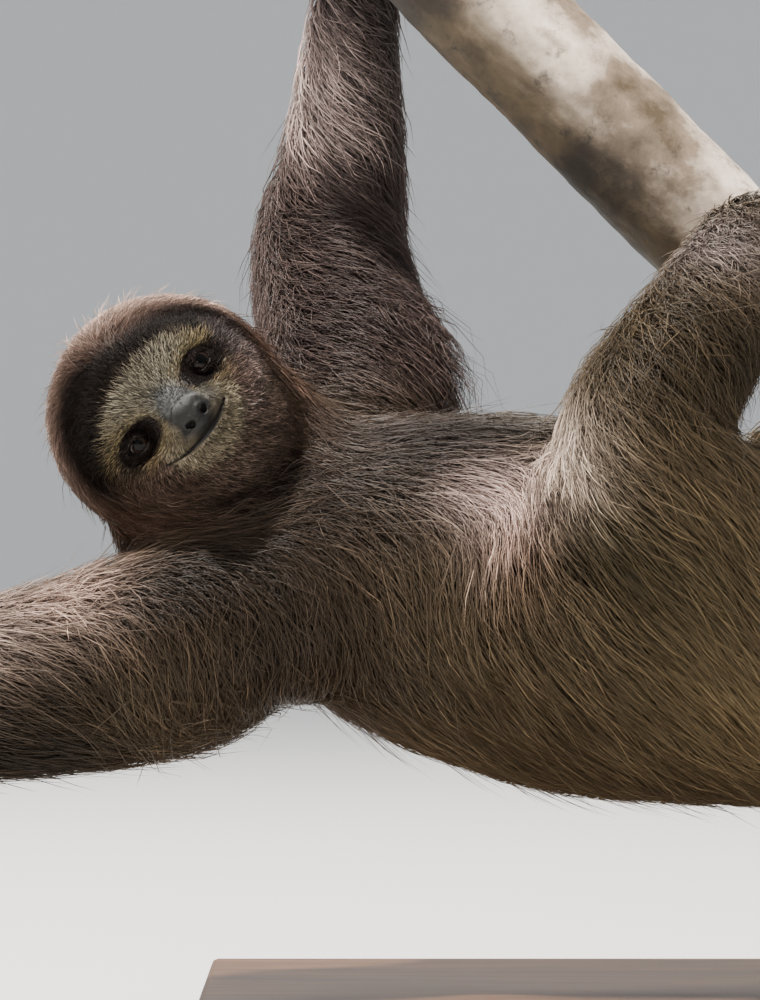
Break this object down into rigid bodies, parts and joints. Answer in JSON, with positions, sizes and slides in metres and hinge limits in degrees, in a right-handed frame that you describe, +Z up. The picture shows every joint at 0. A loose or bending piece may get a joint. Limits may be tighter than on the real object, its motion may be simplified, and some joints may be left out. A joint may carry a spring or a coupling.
{
  "type": "three-toed sloth model on a perch",
  "caption": "Life-size still model of a three-toed sloth hanging belly-up below a sloping branch, on a plain display stand.",
  "frame": {"origin": "middle of the stand's flat underside", "axes": "+Z up, the way the belly faces; -X towards the head; -Y towards the animal's right flank"},
  "size_m": [0.734, 0.3759, 0.5673],
  "materials": {
    "body_fur": "long coarse shaggy hair, olive to golden brown over dark brown",
    "face_fur": "short dense hair, pale cream mask with dark brown eye stripes",
    "nose_skin": "bare grey skin, slightly moist",
    "eye": "wet dark brown",
    "claw": "satin horn, yellowish with darker roots",
    "bark": "smooth pale grey-buff bark with brown blotches",
    "stand_wood": "satin varnished hardwood",
    "stand_steel": "brushed"
  },
  "bodies": {
    "root": {"trunk": "body_fur", "neck": "body_fur", "tail": "body_fur", "upper_arm_right": "body_fur", "forearm_right": "body_fur", "hand_right": "body_fur", "upper_arm_left": "body_fur", "forearm_left": "body_fur", "hand_left": "body_fur", "thigh_right": "body_fur", "shank_right": "body_fur", "foot_right": "body_fur", "thigh_left": "body_fur", "shank_left": "body_fur", "foot_left": "body_fur", "head": "face_fur", "ear_left": "face_fur", "ear_right": "face_fur", "nose": "nose_skin", "eye_left": "eye", "eye_right": "eye", "claw_hand_right_1": "claw", "claw_hand_right_2": "claw", "claw_hand_right_3": "claw", "claw_hand_left_1": "claw", "claw_hand_left_2": "claw", "claw_hand_left_3": "claw", "claw_foot_right_1": "claw", "claw_foot_right_2": "claw", "claw_foot_right_3": "claw", "claw_foot_left_1": "claw", "claw_foot_left_2": "claw", "claw_foot_left_3": "claw", "perch_branch": "bark", "stand_base": "stand_wood", "stand_post": "stand_steel", "stand_collar": "stand_steel", "stand_saddle": "stand_steel"}
  },
  "joints": []
}
